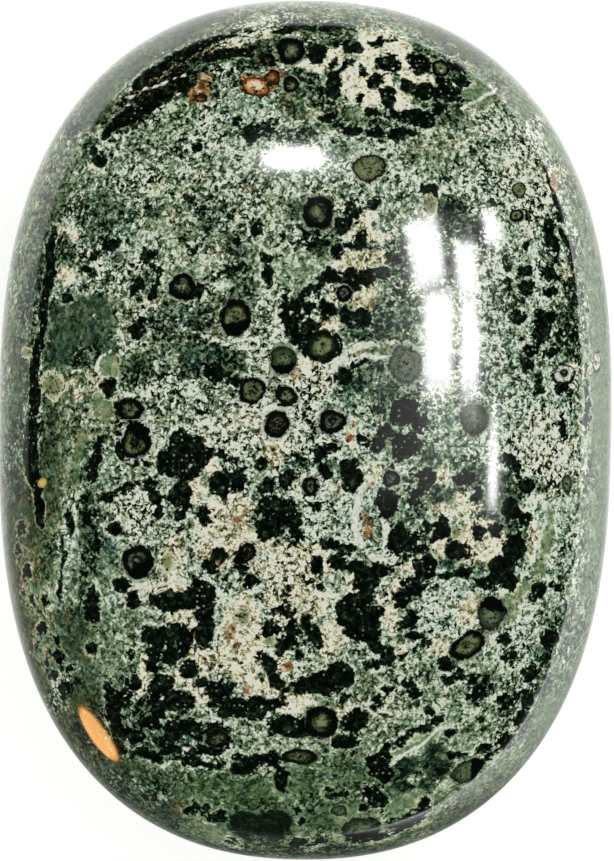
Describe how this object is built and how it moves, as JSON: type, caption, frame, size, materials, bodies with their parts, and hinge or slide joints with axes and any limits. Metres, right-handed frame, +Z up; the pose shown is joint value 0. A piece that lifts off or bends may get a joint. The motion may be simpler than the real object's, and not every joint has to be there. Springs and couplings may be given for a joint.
{
  "type": "kambaba jasper palm stone",
  "caption": "Polished pillow-shaped palm stone of mottled green and black kambaba jasper, oval from above and domed on both sides, resting on a small flat.",
  "frame": {"origin": "centre of the small flat under the stone, which is also the middle of its bounding box seen from above", "axes": "+Y along the stone's length towards its slightly wider end, +X across its width, +Z up from the flat to the crown of the dome"},
  "size_m": [0.0464, 0.065, 0.0245],
  "materials": {
    "polished_kambaba_jasper": "high polish"
  },
  "bodies": {
    "root": {"palm_stone": "polished_kambaba_jasper"}
  },
  "joints": []
}
